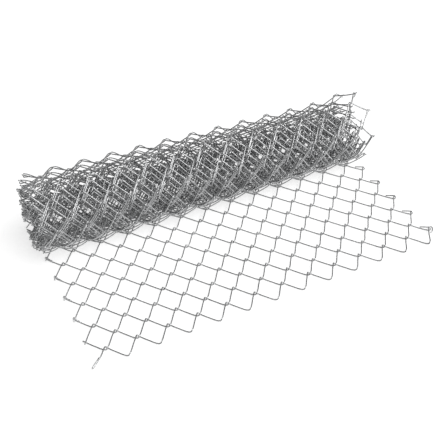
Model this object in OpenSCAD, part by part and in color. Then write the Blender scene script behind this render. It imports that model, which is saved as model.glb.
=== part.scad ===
// Roll of woven diamond-mesh wire fencing with a length of it unrolled on the ground.
// Millimetres. X runs along the roll, the unrolled length points to -Y, Z is up from the ground.

/* [Mesh] */
// Side of one diamond, between wire centres
mesh_side = 50; // [40:1:80]
// Diameter of the galvanised wire
wire_d = 3; // [2:0.1:4]
// Straight legs in each woven wire, from selvage to selvage (odd)
leg_count = 25; // [9:2:41]
// Woven wires that lie unrolled in front of the roll
picket_count = 10; // [2:1:16]
// Depth of a wire's flattened spiral, between the wire centres of its two faces
spiral_depth = 6.4; // [5.6:0.1:10]
// How far the bends of two neighbouring wires reach past each other
hook_overlap = 8; // [6:0.5:14]
// Width of the eye between the two crossings of a pair of hooked bends
eye_w = 10; // [7:0.5:16]
// Clearance between two wires where they cross
hook_clear = 0.3; // [0.1:0.05:0.6]

/* [Selvage] */
// Length of a wire end that is folded back over its own leg
fold_len = 22; // [10:1:30]
// Length of a plain wire end past its last crossing
stub_len = 6; // [3:0.5:8]

/* [Roll] */
// Outer diameter of the roll at its left end, where it is wound more loosely
roll_d_left = 198; // [160:1:260]
// Outer diameter of the roll at its right end
roll_d_right = 178; // [160:1:260]
// Diameter of the open core
bore_d = 50; // [40:1:90]
// Turns of mesh between the core and the outside
turn_count = 8; // [3:1:9]
// Length of the middle stretch in which the turns are joined; towards both ends they stand apart
turn_joint_len = 60; // [20:1:120]
// Clearance between the roll and the first unrolled wire
roll_clear = 0.3; // [0.1:0.05:0.6]

/* [Hidden] */
// Mesh: a diamond is mesh_side * sqrt(2) from corner to corner, a leg spans half of that
leg_span = mesh_side * sqrt(2) / 2;
fabric_w = leg_count * leg_span;
wire_r = wire_d / 2;
wire_sides = 6;

// Hooked bend: the wires cross at half the eye's width, one above the other
reach = hook_overlap / 2;
cross_x = eye_w / 2;
wire_apart = wire_d + hook_clear;
cross_h = wire_apart * reach / sqrt(4 * reach * reach - wire_apart * wire_apart);
leg_h = spiral_depth / 2;
row_y = leg_span / 2;

// Headings of the straight legs, of the bend's two flanks and of the wire where they meet
leg_a = atan2(row_y, leg_span / 2 - cross_x);
flank_a = atan2(reach, cross_x);
knee_a = (leg_a + flank_a) / 2;

// Fold: a half circle round the partner's wire, from below it to above it
fold_r = 2 * cross_h;
fold_steps = [-90, -45, 0, 45, 90];

// Roll: a long cone that lies on its side, so its axis falls towards the narrow end
roll_r_left = roll_d_left / 2;
roll_r_right = roll_d_right / 2;
bore_r = bore_d / 2;
axis_fall = atan2(roll_r_left - roll_r_right, fabric_w);
roll_len_x = fabric_w * cos(axis_fall);
end_lean = sin(axis_fall);
roll_fn = 128;

// A turn is a wall as thick as the wire, open from each end to the joined middle
turn_wall = wire_d;
joint_left = (fabric_w - turn_joint_len) / 2;
joint_right = (fabric_w + turn_joint_len) / 2;

// Heights and places: the first row of hooks lies as far under the roll as it can,
// and the footprint is centred on the origin
mid_z = leg_h + wire_r;
roll_r_max = max(roll_r_left, roll_r_right);
first_row_in = max(under_roll(mid_z) + reach, under_roll(mid_z + cross_h));
front_len = picket_count * leg_span + reach + wire_r;
first_row_y = (front_len - first_row_in - roll_r_max) / 2;
roll_y = first_row_y + first_row_in;
roll_z = roll_r_left * cos(axis_fall);
roll_x = -(roll_len_x + (roll_r_right - roll_r_left) * end_lean) / 2;
mesh_x = -fabric_w / 2;

galvanised = [0.62, 0.64, 0.66];

function picket_name(m) = str("picket_", m + 1);

// Distance from the roll's contact line at which a wire at height z clears the roll
function under_roll(z) = sqrt(pow(roll_r_max + wire_r + roll_clear, 2) - pow(roll_r_max - z, 2));

// Bend k of wire m points back to the roll (1) or forward to the free edge (-1)
function bend_side(m, k) = (k + m) % 2 == 0 ? 1 : -1;

function heading(a) = [cos(a), sin(a), 0];

// A station of a wire: its centre, its heading in plan and its climb in the vertical plane
function station(p, a, climb = 0) = [p, a, climb];

// A bend inside the mesh: crossing, apex and crossing, then the middle of the next leg
function bend(m, k) =
    let (
        b = bend_side(m, k),
        x = k * leg_span
    )
    [
        station([x - cross_x, b * row_y, b * cross_h], b * knee_a),
        station([x, b * (row_y + reach), 0], 0),
        station([x + cross_x, b * row_y, -b * cross_h], -b * knee_a),
        station([x + leg_span / 2, 0, -b * leg_h], -b * leg_a)
    ];

// A wire end that runs on past its last crossing; way is -1 at the left and 1 at the right
function plain_end(c, a, way) =
    [station(c + way * stub_len * heading(a), a), station(c, a)];

// A wire end folded up round its partner's wire and back over its own leg
function folded_end(c, a, way) =
    let (
        hub = [c[0], c[1], cross_h],
        arc = [
            for (s = fold_steps)
                station(hub + fold_r * [way * cos(s) * cos(a), way * cos(s) * sin(a), sin(s)], a, way * (s + 90))
        ],
        tail = station(hub + [0, 0, fold_r] - way * fold_len * heading(a), a, way * 180)
    )
    concat([tail], [for (i = [len(arc) - 1 : -1 : 0]) arc[i]]);

// Even wires fold their ends, odd wires pass through the folds; an end with no partner stays plain
function is_folded(m, partner) = m % 2 == 0 && partner >= 0 && partner < picket_count;

function left_end(m) =
    let (
        b = bend_side(m, 0),
        c = [cross_x, b * row_y, -b * cross_h]
    )
    is_folded(m, m - 1) ? folded_end(c, -b * leg_a, -1) : plain_end(c, -b * leg_a, -1);

function right_end(m) =
    let (
        b = bend_side(m, leg_count),
        c = [fabric_w - cross_x, b * row_y, b * cross_h],
        out = is_folded(m, m + 1) ? folded_end(c, b * leg_a, 1) : plain_end(c, b * leg_a, 1)
    )
    [for (i = [len(out) - 1 : -1 : 0]) out[i]];

function first_leg(m) = station([leg_span / 2, 0, -bend_side(m, 0) * leg_h], -bend_side(m, 0) * leg_a);

function wire_path(m) =
    concat(left_end(m), [first_leg(m)], [for (k = [1 : leg_count - 1]) each bend(m, k)], right_end(m));

// The ring of points round one station, square to the wire
function ring(s) =
    let (
        side = [-sin(s[1]), cos(s[1]), 0],
        up = -sin(s[2]) * heading(s[1]) + [0, 0, cos(s[2])]
    )
    [
        for (i = [0 : wire_sides - 1])
            let (a = 90 + 360 * i / wire_sides)
            s[0] + wire_r * (cos(a) * side + sin(a) * up)
    ];

// A closed wire through all its stations, two triangles for each side and step
module wire(path) {
    n = wire_sides;
    last = len(path) - 1;
    points = [for (s = path) each ring(s)];
    skin = [
        for (j = [0 : last - 1], i = [0 : n - 1])
            let (
                a = j * n + i,
                b = j * n + (i + 1) % n
            )
            each [[a, b, a + n], [b, b + n, a + n]]
    ];
    caps = [
        [for (i = [n - 1 : -1 : 0]) i],
        [for (i = [0 : n - 1]) last * n + i]
    ];
    polyhedron(points, concat(skin, caps));
}

// One woven wire of the unrolled length, hooked to its neighbours
module picket(m) {
    color(galvanised)
        translate([mesh_x, first_row_y - (m + 0.5) * leg_span, mid_z])
            wire(wire_path(m));
}

// Inner radius of turn i at distance z from the left end; the turns share the roll's taper
function turn_r(i, z) =
    let (
        left = (roll_r_left - bore_r - turn_wall) / (turn_count - 1),
        right = (roll_r_right - bore_r - turn_wall) / (turn_count - 1)
    )
    bore_r + i * (left + (right - left) * z / fabric_w);

// Outline of one end from the core outwards: each turn's edge, and between turns the gap's floor
function end_steps(z, floor_z) =
    [
        for (i = [0 : turn_count - 1])
            each concat(
                i > 0 ? [[turn_r(i, floor_z), floor_z]] : [],
                [[turn_r(i, z), z], [turn_r(i, z) + turn_wall, z]],
                i < turn_count - 1 ? [[turn_r(i, floor_z) + turn_wall, floor_z]] : []
            )
    ];

// The wound mesh as one turned body with its open core, its turns apart on both ends
module roll() {
    far = end_steps(fabric_w, joint_right);
    outline = concat(end_steps(0, joint_left), [for (i = [len(far) - 1 : -1 : 0]) far[i]]);
    color(galvanised)
        translate([roll_x, roll_y, roll_z])
            rotate([0, 90 + axis_fall, 0])
                rotate_extrude($fn = roll_fn)
                    polygon(outline);
}

roll();
for (m = [0 : picket_count - 1]) picket(m);
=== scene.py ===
import math
import bpy
import numpy as np
from mathutils import Matrix


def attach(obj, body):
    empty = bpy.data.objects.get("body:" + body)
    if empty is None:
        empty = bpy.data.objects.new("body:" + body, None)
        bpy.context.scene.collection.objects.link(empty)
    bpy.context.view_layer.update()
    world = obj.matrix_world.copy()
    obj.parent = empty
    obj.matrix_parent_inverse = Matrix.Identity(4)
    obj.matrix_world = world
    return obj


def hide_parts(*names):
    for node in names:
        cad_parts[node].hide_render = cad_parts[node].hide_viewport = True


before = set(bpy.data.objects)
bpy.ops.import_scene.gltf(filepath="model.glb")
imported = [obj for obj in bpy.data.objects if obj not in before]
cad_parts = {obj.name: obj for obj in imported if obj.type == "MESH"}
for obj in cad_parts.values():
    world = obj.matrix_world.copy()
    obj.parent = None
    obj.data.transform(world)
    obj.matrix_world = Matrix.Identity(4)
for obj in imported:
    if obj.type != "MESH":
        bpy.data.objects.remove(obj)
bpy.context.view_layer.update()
scene = bpy.context.scene
scene.view_settings.view_transform = "Standard"

# woven mesh, lengths in millimetres; wire 9 is the free edge, wire 0 the last before the roll
millimetre = 0.001
weave = {
    "legSpan": 35.3553,        # half a diamond, along the roll and across it
    "legCount": 25,            # straight legs from selvage to selvage
    "wireRadius": 1.5,
    "legHeight": 3.2,          # half the depth of a wire's flattened spiral
    "backRound": 0.9,          # how tightly a corner turns that points to the roll,
    "frontRound": 5.0,         # and one that points to the free edge
    "highSoften": 4.0,         # the upper legs stay high up to the corner,
    "lowSoften": 13.0,         # the lower ones sink more slowly
    "cornerLag": 0.3,          # a wire keeps its height until a little past the corner
    "crossIn": 4.2,            # from a corner to the crossing beside it
    "crossHeight": 1.81,       # of the partner's wire over the middle plane, where an end is folded round it
    "midHeight": 4.7,          # the mesh's middle plane above the ground
    "firstRowY": 109.986,      # row of hooks between wire 0 and the roll
    "frontCount": 10,          # wires that lie unrolled
    "sway": 0.3,               # they come together in pairs by this much
    "looseSwing": 15.0,        # degrees by which the loose end of the free edge is bent out
    "droop": 0.22,             # the free edge's last bends at the right are drawn out by this share,
    "droopLength": 170.0,      # over this length
}
meshWidth = weave["legSpan"] * weave["legCount"]
halfLeg = weave["legSpan"] / 2

# sides of a wire and the places beside a corner at which it has a ring
fineWire = {"sides": 8, "steps": np.array([0.0, 1.1, 2.3, 3.7, 5.4, 7.8, 11.5])}
plainWire = {"sides": 5, "steps": np.array([0.0, 2.0, 5.0])}


# height of a wire beside a corner: a sine of a squashed ramp, level at the middle of the leg
def legHeightAt(tau, soften):
    ramp = tau / np.sqrt(tau**2 + soften**2) * np.sqrt(halfLeg**2 + soften**2) / halfLeg
    return weave["legHeight"] * np.sin(ramp * math.pi / 2)


# the zigzag between the two end legs: at each corner a hyperbola in plan, turned in and out by turns
def zigzagPath(parity, steps):
    taus = np.concatenate([-steps[:0:-1], steps, [halfLeg]])
    corners = np.arange(1, weave["legCount"])[:, None]
    side = np.where((corners + parity) % 2 == 0, 1.0, -1.0)
    bend = np.where(side > 0, weave["backRound"], weave["frontRound"])
    bow = np.hypot(halfLeg, bend) - np.hypot(taus, bend)
    steep = halfLeg / (np.hypot(halfLeg, bend) - np.hypot(weave["crossIn"], bend))
    x = corners * weave["legSpan"] + taus
    y = side * steep * bow
    lag = weave["cornerLag"] * (1 - np.abs(taus) / halfLeg)
    soften = np.where(side * (taus - lag) < 0, weave["highSoften"], weave["lowSoften"])
    h = -side * legHeightAt(taus - lag, soften)
    firstH = -weave["legHeight"] if parity == 0 else weave["legHeight"]
    path = np.stack([x.ravel(), y.ravel(), h.ravel()], axis=1)
    return np.concatenate([[[halfLeg, 0.0, firstH]], path])


# wire ends from the tip inwards, each point as distance out past the last crossing, distance aside and
# height; an arc between tail and leg is half an ellipse with its centre and its radii outwards, aside and up
arcRings = 9
plainLeg = [(-2.0, 0.0, 2.0), (-8.0, 0.0, 2.7), (-15.0, 0.0, 3.1)]
foldedLeg = [(-7.0, 0.0, -weave["crossHeight"] - 0.75), (-14.0, 0.0, 0.2 - weave["legHeight"])]
wireEnds = {
    "fold": {        # round the partner's wire and back over its own leg, leaning open
        "tail": [(-22.0, 1.0, 0.3), (-11.0, 2.6, 2.9)],
        "centre": (0.0, 1.8, weave["crossHeight"]),
        "radii": (2.2 * weave["crossHeight"], 1.8, 2 * weave["crossHeight"]),
        "leg": foldedLeg,
    },
    "knot": {        # the same, but pressed down on its leg
        "tail": [(-17.0, 0.0, 0.0), (-11.0, 0.0, 0.2), (-6.5, 0.0, 0.8), (-3.4, 0.0, 3.6)],
        "centre": (0.0, 0.0, weave["crossHeight"]),
        "radii": (2.2 * weave["crossHeight"], 0.0, 2 * weave["crossHeight"]),
        "leg": foldedLeg,
    },
    "hairpin": {     # the loose end of the free edge, doubled back on itself
        "tail": [(-16.0, 0.0, 5.7), (-7.0, 0.0, 4.1)],
        "centre": (7.0, 0.0, 0.4),
        "radii": (2.2, 0.0, 2.2),
        "leg": [(-2.0, 0.0, -1.0), (-12.0, 0.0, 1.4)],
    },
    "hook": {        # bent over sideways in a small half circle
        "tail": [],
        "centre": (4.4, 2.2, 1.3),
        "radii": (2.2, 2.2, -0.3),
        "leg": plainLeg,
    },
    "ring": {        # a wider one that comes back to its leg
        "tail": [(-11.0, 5.0, 0.4), (-6.0, 8.3, 0.6), (0.0, 9.6, 0.8)],
        "centre": (7.0, 4.8, 1.3),
        "radii": (4.8, 4.8, -0.3),
        "leg": plainLeg,
    },
    "stub": {        # cut off past the crossing
        "tail": [(8.0, 0.0, 1.2), (2.5, 0.0, 1.6)],
        "leg": plainLeg,
    },
}
uprightEnds = ("fold", "knot", "hairpin")


# points of one wire end: tail, then centre plus radii times (cosine, sine, sine) from 90 to -90 degrees, then
# leg; a stub that comes from below is the same upside down
def endProfile(kind, low):
    end = wireEnds[kind]
    if kind == "stub":
        return np.array(end["tail"] + end["leg"]) * [1, 1, -1 if low else 1]
    turn = np.radians(np.linspace(90, -90, arcRings))
    swing = np.stack([np.cos(turn), np.sin(turn), np.sin(turn)], axis=1)
    arc = np.array(end["centre"]) + np.array(end["radii"]) * swing
    return np.concatenate([np.reshape(end["tail"], (-1, 3)), arc, end["leg"]])


# the last leg at the left in plan: the distance from its middle to the last crossing, the unit direction that
# way, and the direction aside, a quarter turn from it
def lastLeg(low):
    way = np.array([weave["crossIn"] - halfLeg, halfLeg if low else -halfLeg])
    reach = np.linalg.norm(way)
    outward = way / reach
    return reach, outward, np.array([outward[1], -outward[0]])


# one wire end in place: middle of the last leg, plus distance out times its direction, plus distance aside;
# the loose hairpin is swung out of that direction
def endPoints(kind, low, longer):
    reach, outward, aside = lastLeg(low)
    profile = endProfile(kind, low)
    swing = math.radians(weave["looseSwing"]) if kind == "hairpin" else 0.0
    swung = outward * math.cos(swing) + aside * math.sin(swing)
    out = (profile[:, :1] + reach + longer) * swung
    beside = profile[:, 1:2] * (-aside if low else aside)
    return np.column_stack([np.array([halfLeg, 0.0]) + out + beside, profile[:, 2]])


# rings of one whole wire at the origin: each is a circle round a point of the path, across the path's
# direction; wires that sway apart meet further out at the left and closer in at the right
def wireRings(parity, leftEnd, rightEnd, wire, sway):
    low = parity == 0
    outward, aside = lastLeg(low)[1:]
    longer = sway / abs(outward[1])
    left = endPoints(leftEnd, low, longer)
    right = endPoints(rightEnd, low, -longer)[::-1] * [-1, -1, 1] + [meshWidth, 0, 0]
    path = np.concatenate([left, zigzagPath(parity, wire["steps"]), right])
    along = np.gradient(path, axis=0)
    along /= np.linalg.norm(along, axis=1, keepdims=True)
    sideways = np.stack([-along[:, 1], along[:, 0], 0 * along[:, 0]], axis=1)
    sideways /= np.linalg.norm(sideways, axis=1, keepdims=True) + 1e-9     # never a division by nothing
    # an upright end keeps one direction sideways all through its turn
    if leftEnd in uprightEnds:
        sideways[:len(left)] = [aside[0], aside[1], 0.0]
    if rightEnd in uprightEnds:
        sideways[len(path) - len(right):] = [aside[0], aside[1], 0.0]
    up = np.cross(along, sideways)
    up /= np.linalg.norm(up, axis=1, keepdims=True)
    angle = np.linspace(0, 2 * math.pi, wire["sides"], endpoint=False)[None, :, None]
    ring = np.cos(angle) * sideways[:, None, :] + np.sin(angle) * up[:, None, :]
    length = np.concatenate([[0], np.cumsum(np.linalg.norm(np.diff(path, axis=0), axis=1))])
    return path[:, None, :] + weave["wireRadius"] * ring, length


# the wound turns: a spiral about the line on which the roll rests, slack behind it on the ground;
# the outer turns nest a few degrees apart, the core is wound tighter and has sunk
spiral = {
    "axisY": 150.067,
    "anglesAt": (0, 144, 512, 880, 1248, 1602, 1962, 2322, 2682, 2880),    # degrees round the roll,
    "rowsAt": (1.134, 8, 24, 40, 56, 75, 92, 106, 119, 126),    # rows of hooks that are wound up to there,
    "radiiAt": (93, 91, 83.5, 76, 68.5, 56, 48, 40, 33, 30),    # radius of the mesh's middle plane
    "sagAt": (0, 0, 4, 8, 13, 17, 18, 18, 18, 18),              # and how far it has sunk, open at the top
    "pleat": 3.6,              # every second row of hooks stands out, the rows between lie deeper
    "slackUntil": 17.0,        # degrees over which the outermost turn still lies on the ground
    "slackEnd": 95.0,          # degrees at which it joins the round again
    "footWires": 3.0,          # wires over which the flat mesh becomes the roll
    "scaleLeft": 1.056,        # the roll is wound more loosely at its left end
    "scaleRight": 0.944,
    "slideRows": (-6, 5, 9, 19, 27, 45, 70),     # wound askew: the outermost turn lies to the right,
    "slideBy": (0, 8, 8, -9, -3, -6, -10),       # the inner ones stand out at the left end
    "flareOut": 7.0,           # the outermost turn's right end stands out further,
    "flareWide": 0.10,         # opens wider
    "flareLength": 110.0,      # over this length
    "flareRows": 19.0,         # and this many rows,
    "flareFade": 3.0,          # the last of which fade
    "tuckBy": (9.0, 6.0, 16.0),    # the left end is drawn in where it is low and to the front,
    "tuckLength": 150.0,       # over this length
    "tuckHeight": 110.0,       # up to this height
    "tuckFront": 45.0,         # and in full from this far before the contact line
    "pastEnd": 1.1,            # flare and tuck grow on past a selvage up to this share
}

# loose hand winding: the spread of the wires' shifts, tilts and waves, of which each wire has a share
looseness = {
    "seed": 11,
    "woundSeed": 500,          # added to the seed for wound wires
    "frontShare": 0.15,        # share on the unrolled wires,
    "woundShare": 0.22,        # on the wound ones,
    "footShare": 0.35,         # and how much of that where the roll begins
    "shiftX": 1.6,
    "shiftY": 0.7,
    "shiftH": 0.6,
    "tilt": 3.0,               # degrees
    "waveLength": (260, 520),
    "waveY": 0.9,
    "waveH": 1.1,
}


# rows of hooks in section: level to the contact line, then a radius that falls from turn to turn about
# a middle that sinks with it, swollen by 1 / cos of the angle where the slack turn lies on the ground
def rowPoints(rows):
    degrees = np.interp(rows, spiral["rowsAt"], spiral["anglesAt"])
    theta = np.radians(degrees)
    until, end = math.radians(spiral["slackUntil"]), math.radians(spiral["slackEnd"])
    floorSwell = 1 / np.cos(np.minimum(theta, until))
    risen = np.clip((theta - until) / (end - until), 0, 1)
    radius = np.interp(degrees, spiral["anglesAt"], spiral["radiiAt"])
    radius = radius * (1 + (floorSwell - 1) * np.cos(risen * math.pi / 2)**2)
    radius = radius + risen * spiral["pleat"] * np.cos(np.round(rows) * math.pi)
    sag = np.interp(degrees, spiral["anglesAt"], spiral["sagAt"])
    y = spiral["axisY"] + radius * np.sin(theta)
    z = weave["midHeight"] + spiral["radiiAt"][0] - radius * np.cos(theta) - sag
    level = rows < spiral["rowsAt"][0]
    y = np.where(level, weave["firstRowY"] + rows * weave["legSpan"], y)
    return np.stack([y, np.where(level, weave["midHeight"], z)], axis=1)


# where each wire lies: middle of the chord between its two rows, its direction and its inward normal
def wirePlaces(wires):
    back, front = rowPoints(-wires * 1.0), rowPoints(-wires - 1.0)
    along = back - front
    along /= np.linalg.norm(along, axis=1, keepdims=True)
    inward = np.stack([-along[:, 1], along[:, 0]], axis=1)
    return (back + front) / 2, along, inward


# lays one set of rings in many places: x along the roll, y and height along each wire's own directions, with
# seeded shifts, tilts and waves, and y drawn out at the free edge's last bends; the place is scaled about
# the contact line by the roll's taper and flare, x gains the slide and the flare, and the tuck, a product of
# three ramps, draws the low left end in
def placeRings(rings, wires, loose):
    dice = np.random.default_rng(
        looseness["seed"] + int(abs(wires[0])) + (looseness["woundSeed"] if loose else 0))
    middle, along, inward = wirePlaces(wires)
    perWire = (len(wires), 1, 1)
    x, y, h = rings[..., 0], rings[..., 1], rings[..., 2]
    freeEdge = (wires == weave["frontCount"] - 1).reshape(perWire)
    nearRight = np.clip((x - meshWidth) / weave["droopLength"] + 1, 0, 1)
    y = y * (1 + weave["droop"] * freeEdge * (y < 0) * nearRight)

    inRoll = np.clip((-wires - 1) / spiral["footWires"], 0, 1).reshape(perWire)
    woundShare = looseness["woundShare"] * (looseness["footShare"] + (1 - looseness["footShare"]) * inRoll)
    share = woundShare if loose else looseness["frontShare"]
    shiftX = dice.normal(0, looseness["shiftX"], perWire) * share
    shiftY = dice.normal(0, looseness["shiftY"], perWire) * share
    shiftH = dice.normal(0, looseness["shiftH"], perWire) * share * inRoll
    tilt = np.radians(dice.normal(0, looseness["tilt"], perWire)) * share * inRoll
    phase = dice.uniform(0, 2 * math.pi, (2, *perWire))
    waveLength = dice.uniform(*looseness["waveLength"], (2, *perWire))
    waves = np.sin(2 * math.pi * x / waveLength + phase)
    sway = np.where(wires % 2 == 0, -weave["sway"], weave["sway"]).reshape(perWire) * (1 - inRoll)
    across = y * np.cos(tilt) - h * np.sin(tilt) + shiftY + looseness["waveY"] * share * waves[0] + sway
    height = y * np.sin(tilt) + h * np.cos(tilt) + shiftH + looseness["waveH"] * share * inRoll * waves[1]

    rowsLeft = np.clip(spiral["flareRows"] + wires, 0, spiral["flareFade"]).reshape(perWire)
    fromRight = np.clip((x - meshWidth) / spiral["flareLength"] + 1, 0, spiral["pastEnd"])
    flare = rowsLeft / spiral["flareFade"] * inRoll * fromRight**2
    taper = spiral["scaleLeft"] + (spiral["scaleRight"] - spiral["scaleLeft"]) * x / meshWidth
    scale = (1 + (taper - 1) * inRoll) * (1 + spiral["flareWide"] * flare)
    midY = spiral["axisY"] + (middle[:, 0, None, None] - spiral["axisY"]) * scale
    midZ = weave["midHeight"] + (middle[:, 1, None, None] - weave["midHeight"]) * scale
    slide = np.interp(-wires, spiral["slideRows"], spiral["slideBy"]).reshape(perWire)
    outX = x - meshWidth / 2 + shiftX + slide + spiral["flareOut"] * flare
    outY = midY + across * along[:, 0, None, None] + height * inward[:, 0, None, None]
    outZ = midZ + across * along[:, 1, None, None] + height * inward[:, 1, None, None]

    fromLeft = np.clip(1 - x / spiral["tuckLength"], 0, spiral["pastEnd"])
    fromGround = np.clip(1 - outZ / spiral["tuckHeight"], 0, 1)
    toFront = np.clip((spiral["axisY"] - outY) / spiral["tuckFront"], 0, 1)
    tuck = inRoll * fromLeft**2 * fromGround * toFront
    return np.stack([outX, outY, outZ], axis=-1) + tuck[..., None] * np.array(spiral["tuckBy"])


# one kind of wire: its rings, made once and laid in all its places, and the length along it
def wovenPart(wires, leftEnd, rightEnd, wire, loose):
    rings, length = wireRings(int(wires[0]) % 2, leftEnd, rightEnd, wire, 0.0 if loose else weave["sway"])
    return placeRings(rings, wires, loose), length


# one mesh from many wires: side quads between neighbouring rings, a flat cap on each end; its UV map has the
# length along the wire and the share of the way round it
def wireMesh(name, parts):
    verts, loops, totals, uvs = [], [], [], []
    offset = 0
    for rings, length in parts:
        count, rows, sides = rings.shape[:3]
        index = offset + np.arange(count * rows * sides).reshape(count, rows, sides)
        a, b = index[:, :-1], index[:, 1:]
        quads = np.stack([a, np.roll(a, -1, axis=2), np.roll(b, -1, axis=2), b], axis=-1)
        caps = np.concatenate([index[:, 0, ::-1], index[:, -1, :]])
        verts.append(rings.reshape(-1, 3))
        loops += [quads.reshape(-1), caps.reshape(-1)]
        totals += [np.full(quads.size // 4, 4), np.full(len(caps), sides)]
        along = np.broadcast_to(length[None, :, None], index.shape)
        around = np.broadcast_to(np.arange(sides) / sides, index.shape)
        uvs.append(np.stack([along, around], axis=-1).reshape(-1, 2))
        offset += index.size
    verts, loops = np.concatenate(verts) * millimetre, np.concatenate(loops)
    totals, uvs = np.concatenate(totals), np.concatenate(uvs)
    mesh = bpy.data.meshes.new(name)
    mesh.vertices.add(len(verts))
    mesh.vertices.foreach_set("co", verts.ravel())
    mesh.loops.add(len(loops))
    mesh.loops.foreach_set("vertex_index", loops)
    mesh.polygons.add(len(totals))
    mesh.polygons.foreach_set("loop_start", np.concatenate([[0], np.cumsum(totals)[:-1]]))
    mesh.update(calc_edges=True)
    layer = mesh.uv_layers.new(name="wire")
    layer.data.foreach_set("uv", uvs[loops].ravel())
    mesh.validate()
    mesh.shade_smooth()
    piece = bpy.data.objects.new(name, mesh)
    scene.collection.objects.link(piece)
    print(name, len(verts), "vertices", int((totals - 2).sum()), "triangles")
    return piece


# galvanised zinc: pale and dull patches, a spangle of crystals and faint drawing lines
zinc = {
    "dark": (0.40, 0.405, 0.41, 1),
    "pale": (0.72, 0.725, 0.73, 1),
    "paintedShadeDark": (0.33, 0.335, 0.34, 1),     # painted shade: the core's wires are coloured darker than the outer turns, for the shade deep inside the roll
    "paintedShadePale": (0.58, 0.585, 0.59, 1),
    "darkUpTo": 0.25,          # tones at which the colour is all dark,
    "paleFrom": 0.75,          # and all pale
    "metallic": 0.9,
    "patchScale": 22.0,
    "patchDetail": 3,
    "spangleScale": 420.0,
    "spangleShare": 0.4,       # of the tone, the rest is patches
    "roughLow": 0.26,
    "roughHigh": 0.40,
    "lineStretch": (0.12, 26.0, 1.0),       # drawing lines run along the wire
    "grainShare": 0.35,        # of the relief, the rest is drawing lines
    "reliefStrength": 0.25,
    "reliefDepth": 0.0002,
}


# tone is a mix of smooth noise and each crystal's own random value, grain a second value of the crystal
def zincGroup():
    group = bpy.data.node_groups.new("zincBloom", "ShaderNodeTree")
    group.interface.new_socket("Patch Scale", in_out="INPUT", socket_type="NodeSocketFloat")
    group.interface.new_socket("Spangle Scale", in_out="INPUT", socket_type="NodeSocketFloat")
    group.interface.new_socket("Tone", in_out="OUTPUT", socket_type="NodeSocketFloat")
    group.interface.new_socket("Grain", in_out="OUTPUT", socket_type="NodeSocketFloat")
    nodes, links = group.nodes, group.links
    into, out = nodes.new("NodeGroupInput"), nodes.new("NodeGroupOutput")
    coords = nodes.new("ShaderNodeTexCoord")
    patch = nodes.new("ShaderNodeTexNoise")
    patch.inputs["Detail"].default_value = zinc["patchDetail"]
    crystal = nodes.new("ShaderNodeTexVoronoi")
    links.new(coords.outputs["Object"], patch.inputs["Vector"])
    links.new(coords.outputs["Object"], crystal.inputs["Vector"])
    links.new(into.outputs["Patch Scale"], patch.inputs["Scale"])
    links.new(into.outputs["Spangle Scale"], crystal.inputs["Scale"])
    split = nodes.new("ShaderNodeSeparateColor")
    links.new(crystal.outputs["Color"], split.inputs["Color"])
    mix = nodes.new("ShaderNodeMix")
    mix.data_type = "FLOAT"
    mix.inputs[0].default_value = zinc["spangleShare"]
    links.new(patch.outputs[0], mix.inputs[2])
    links.new(split.outputs[0], mix.inputs[3])
    links.new(mix.outputs[0], out.inputs["Tone"])
    links.new(split.outputs[1], out.inputs["Grain"])
    return group


# tone runs the colour from dark to pale and the roughness from low to high; relief is a mix of drawing
# lines, noise stretched along the wire, and grain
def zincMaterial(name, group, dark, pale):
    material = bpy.data.materials.new(name)
    material.use_nodes = True
    nodes, links = material.node_tree.nodes, material.node_tree.links
    shader = nodes["Principled BSDF"]
    shader.inputs["Metallic"].default_value = zinc["metallic"]
    bloom = nodes.new("ShaderNodeGroup")
    bloom.node_tree = group
    bloom.inputs["Patch Scale"].default_value = zinc["patchScale"]
    bloom.inputs["Spangle Scale"].default_value = zinc["spangleScale"]
    ramp = nodes.new("ShaderNodeValToRGB")
    low, high = ramp.color_ramp.elements
    low.position, low.color = zinc["darkUpTo"], dark
    high.position, high.color = zinc["paleFrom"], pale
    links.new(bloom.outputs["Tone"], ramp.inputs["Fac"])
    links.new(ramp.outputs["Color"], shader.inputs["Base Color"])
    rough = nodes.new("ShaderNodeMapRange")
    rough.inputs["To Min"].default_value = zinc["roughLow"]
    rough.inputs["To Max"].default_value = zinc["roughHigh"]
    links.new(bloom.outputs["Tone"], rough.inputs["Value"])
    links.new(rough.outputs["Result"], shader.inputs["Roughness"])
    lines = nodes.new("ShaderNodeTexNoise")
    lines.inputs["Scale"].default_value = 1.0
    uv = nodes.new("ShaderNodeUVMap")
    uv.uv_map = "wire"
    stretch = nodes.new("ShaderNodeMapping")
    stretch.inputs["Scale"].default_value = zinc["lineStretch"]
    links.new(uv.outputs["UV"], stretch.inputs["Vector"])
    links.new(stretch.outputs["Vector"], lines.inputs["Vector"])
    relief = nodes.new("ShaderNodeMix")
    relief.data_type = "FLOAT"
    relief.inputs[0].default_value = zinc["grainShare"]
    links.new(lines.outputs[0], relief.inputs[2])
    links.new(bloom.outputs["Grain"], relief.inputs[3])
    bump = nodes.new("ShaderNodeBump")
    bump.inputs["Strength"].default_value = zinc["reliefStrength"]
    bump.inputs["Distance"].default_value = zinc["reliefDepth"]
    links.new(relief.outputs[0], bump.inputs["Height"])
    links.new(bump.outputs["Normal"], shader.inputs["Normal"])
    return material


bloomGroup = zincGroup()
wireZinc = zincMaterial("galvanisedWire", bloomGroup, zinc["dark"], zinc["pale"])
rollZinc = zincMaterial("galvanisedRolledWire", bloomGroup, zinc["dark"], zinc["pale"])
# painted shade: the core's wires get darker zinc colours for the shade deep inside the roll
coreZincPaintedShade = zincMaterial("galvanisedCoreWirePaintedShade", bloomGroup, zinc["paintedShadeDark"], zinc["paintedShadePale"])
print("zinc made")

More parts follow.
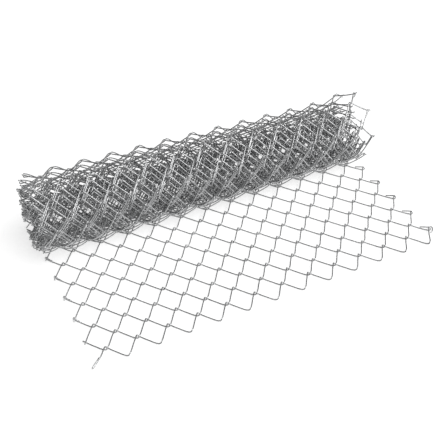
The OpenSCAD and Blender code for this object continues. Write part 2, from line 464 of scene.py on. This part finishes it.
# unrolled length: even wires knotted and folded, odd wires passed through them, and the two at the free edge
frontWires = np.arange(weave["frontCount"])
unrolled = wireMesh("unrolledMesh", [
    wovenPart(frontWires[0:-2:2], "knot", "fold", fineWire, False),
    wovenPart(frontWires[1:-1:2], "stub", "hook", fineWire, False),
    wovenPart(frontWires[-2:-1], "stub", "fold", fineWire, False),
    wovenPart(frontWires[-1:], "hairpin", "ring", fineWire, False),
])
unrolled.data.materials.append(wireZinc)
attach(unrolled, "root")
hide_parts(*["picket_%d" % (i + 1) for i in range(weave["frontCount"])])

# wound length in three pieces, from the outside to the core, each with its first wire, the wire after its
# last, its fineness and its finish; the core's finish is the darker zinc, which is painted shade
woundPieces = {
    "rolledMeshOuter": (1, 27, fineWire, rollZinc),
    "rolledMeshInner": (27, 53, fineWire, rollZinc),
    "rolledMeshCore": (53, 126, plainWire, coreZincPaintedShade),
}
for pieceName, (first, afterLast, wire, finishAndShade) in woundPieces.items():
    wires = -np.arange(first, afterLast)
    wound = wireMesh(pieceName, [
        wovenPart(wires[wires % 2 == 0], "fold", "fold", wire, True),
        wovenPart(wires[wires % 2 != 0], "stub", "hook", wire, True),
    ])
    wound.data.materials.append(finishAndShade)
    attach(wound, "root")
    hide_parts("roll")
print("mesh made")

# pale floor: the camera and the metal see it near white, and it still takes the shadow
floorLook = {"size": 40.0, "colour": (0.50, 0.50, 0.50, 1), "rough": 0.95, "shine": 0.0, "glow": 0.72}
floorCorners = np.array([[-1, -1, 0], [1, -1, 0], [1, 1, 0], [-1, 1, 0]]) * floorLook["size"] / 2
floorMesh = bpy.data.meshes.new("floor")
floorMesh.from_pydata(floorCorners.tolist(), [], [(0, 1, 2, 3)])
floor = bpy.data.objects.new("floor", floorMesh)
scene.collection.objects.link(floor)
floorMaterial = bpy.data.materials.new("paleFloor")
floorMaterial.use_nodes = True
nodes, links = floorMaterial.node_tree.nodes, floorMaterial.node_tree.links
shader = nodes["Principled BSDF"]
shader.inputs["Base Color"].default_value = floorLook["colour"]
shader.inputs["Roughness"].default_value = floorLook["rough"]
shader.inputs["Specular IOR Level"].default_value = floorLook["shine"]
rays = nodes.new("ShaderNodeLightPath")
seen = rays.outputs["Is Camera Ray"]
for rayName in ("Is Glossy Ray", "Is Transmission Ray"):
    either = nodes.new("ShaderNodeMath")
    either.operation = "MAXIMUM"
    links.new(seen, either.inputs[0])
    links.new(rays.outputs[rayName], either.inputs[1])
    seen = either.outputs[0]
glow = nodes.new("ShaderNodeMath")
glow.operation = "MULTIPLY"
glow.inputs[1].default_value = floorLook["glow"]
links.new(seen, glow.inputs[0])
shader.inputs["Emission Color"].default_value = (1, 1, 1, 1)
links.new(glow.outputs[0], shader.inputs["Emission Strength"])
floor.data.materials.append(floorMaterial)

# soft studio light: pale walls that fade evenly to a dim ceiling, and one soft lamp from the front and above
studio = {
    "horizon": 0.32,
    "ceiling": 0.10,
    "ceilingFrom": 0.7,        # height of the direction at which the ceiling begins
    "lampPower": 2.6,
    "lampAngle": 60.0,         # degrees across, so that its shadows are soft
    "lampFrom": (0.38, -0.45, 0.81),
}
world = bpy.data.worlds.new("studio")
scene.world = world
world.use_nodes = True
nodes, links = world.node_tree.nodes, world.node_tree.links
background = nodes["Background"]
background.inputs["Color"].default_value = (1, 1, 1, 1)
heading = nodes.new("ShaderNodeTexCoord")
parted = nodes.new("ShaderNodeSeparateXYZ")
links.new(heading.outputs["Generated"], parted.inputs["Vector"])
strength = nodes.new("ShaderNodeMapRange")
strength.inputs["From Max"].default_value = studio["ceilingFrom"]
strength.inputs["To Min"].default_value = studio["horizon"]
strength.inputs["To Max"].default_value = studio["ceiling"]
links.new(parted.outputs["Z"], strength.inputs["Value"])
links.new(strength.outputs["Result"], background.inputs["Strength"])
lampData = bpy.data.lights.new("softLamp", "SUN")
lampData.energy = studio["lampPower"]
lampData.angle = math.radians(studio["lampAngle"])
lamp = bpy.data.objects.new("softLamp", lampData)
scene.collection.objects.link(lamp)
lampAt = Matrix.Translation(studio["lampFrom"])
lamp.matrix_world = lampAt @ (-lampAt.translation).to_track_quat("-Z", "Y").to_matrix().to_4x4()
print("floor and light made")

# camera fitted to the crossings of the unrolled mesh, in metres
viewpoint = {
    "place": (-0.67985, -1.21871, 1.19859),
    "forward": (0.36281, 0.67616, -0.64123),
    "right": (0.88654, -0.46244, 0.01397),
    "lens": 60.43,
    "sensor": 36.0,
    "nearest": 0.05,
    "furthest": 100.0,
}
forward, right = np.array(viewpoint["forward"]), np.array(viewpoint["right"])
upward = np.cross(right, forward)
cameraData = bpy.data.cameras.new("camera")
cameraData.lens = viewpoint["lens"]
cameraData.sensor_width = viewpoint["sensor"]
cameraData.clip_start, cameraData.clip_end = viewpoint["nearest"], viewpoint["furthest"]
camera = bpy.data.objects.new("camera", cameraData)
scene.collection.objects.link(camera)
turned = np.eye(4)
turned[:3, :3] = np.stack([right, upward, -forward], axis=1)
turned[:3, 3] = viewpoint["place"]
camera.matrix_world = Matrix(turned.tolist())
scene.camera = camera
print("camera placed")
